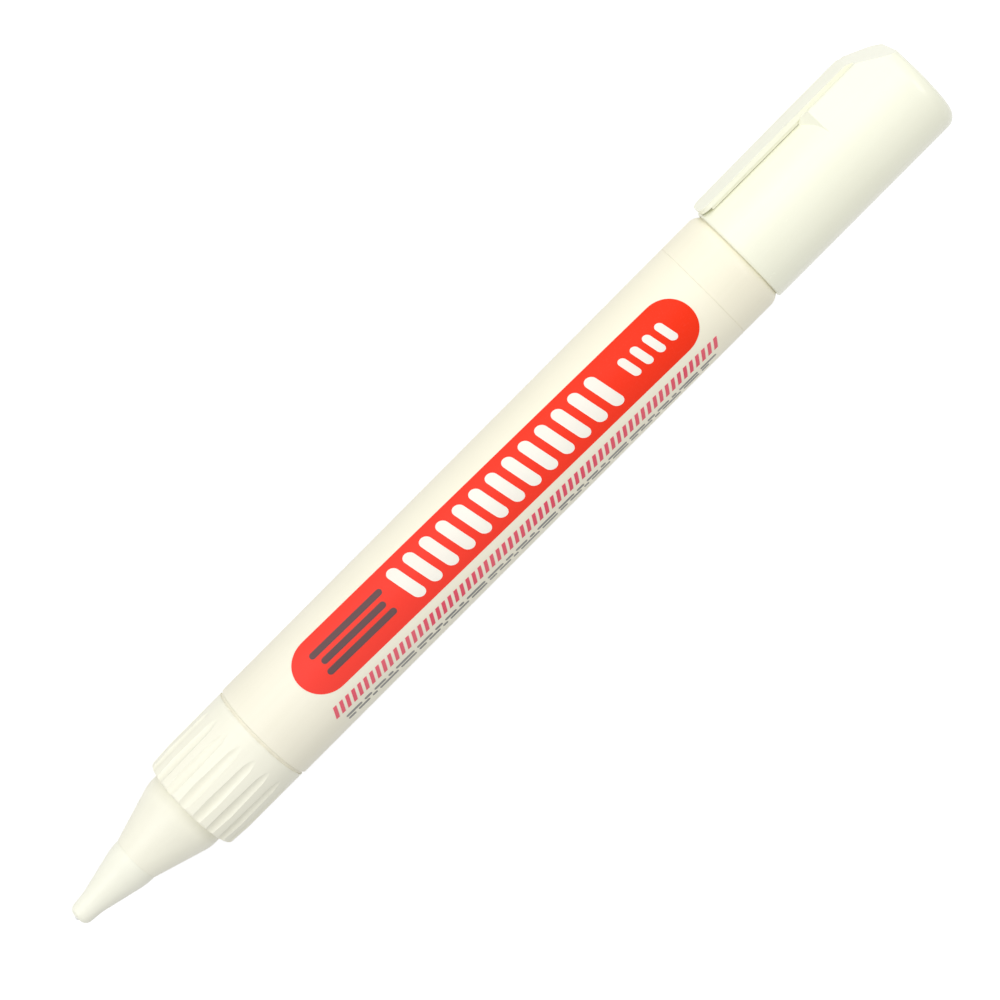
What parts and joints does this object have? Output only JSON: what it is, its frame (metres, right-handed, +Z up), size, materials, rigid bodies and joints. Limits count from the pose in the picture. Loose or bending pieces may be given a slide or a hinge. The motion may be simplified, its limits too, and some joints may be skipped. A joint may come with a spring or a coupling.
{
  "type": "correction pen",
  "caption": "Squeezable correction pen with a sprung needle tip, ribbed nozzle collar, printed round barrel, mixing ball and a clip cap posted on the tail.",
  "frame": {"origin": "middle of the barrel's length, on the pen's axis", "axes": "+X along the pen towards the writing tip, +Z up with the pen lying on its side, -Y towards the pocket clip"},
  "size_m": [0.1434, 0.0147, 0.014],
  "materials": {
    "barrel_plastic": "satin",
    "nozzle_plastic": "satin",
    "tip_plastic": "satin",
    "cap_plastic": "glossy",
    "seal_plastic": "soft matte",
    "rubber": "matte",
    "steel": "bright"
  },
  "bodies": {
    "pen": {"barrel": "barrel_plastic", "tail_plug": "barrel_plastic", "nozzle_collar": "nozzle_plastic", "nozzle_gasket": "rubber", "nozzle_cone": "nozzle_plastic", "tip_sleeve": "tip_plastic", "tip_bush": "steel", "valve_seat": "rubber", "spring_retainer": "seal_plastic", "valve_spring": "steel"},
    "valve": {"needle_carrier": "seal_plastic", "valve_needle": "steel"},
    "ball": {"mixing_ball": "steel"},
    "cap": {"cap": "cap_plastic", "cap_seal": "seal_plastic"}
  },
  "joints": [
    {"name": "cap_pull", "type": "slide", "parent": "pen", "child": "cap", "axis": [-1, 0, 0], "range_m": [0, 0.04]},
    {"name": "needle_press", "type": "slide", "parent": "pen", "child": "valve", "axis": [-1, 0, 0], "range_m": [0, 0.0003], "stiffness_N_per_m": 300, "springref_m": -0.001, "deforming": ["valve_spring"]},
    {"name": "ball_rattle", "type": "slide", "parent": "pen", "child": "ball", "axis": [1, 0, 0], "range_m": [-0.0175, 0.046]}
  ]
}
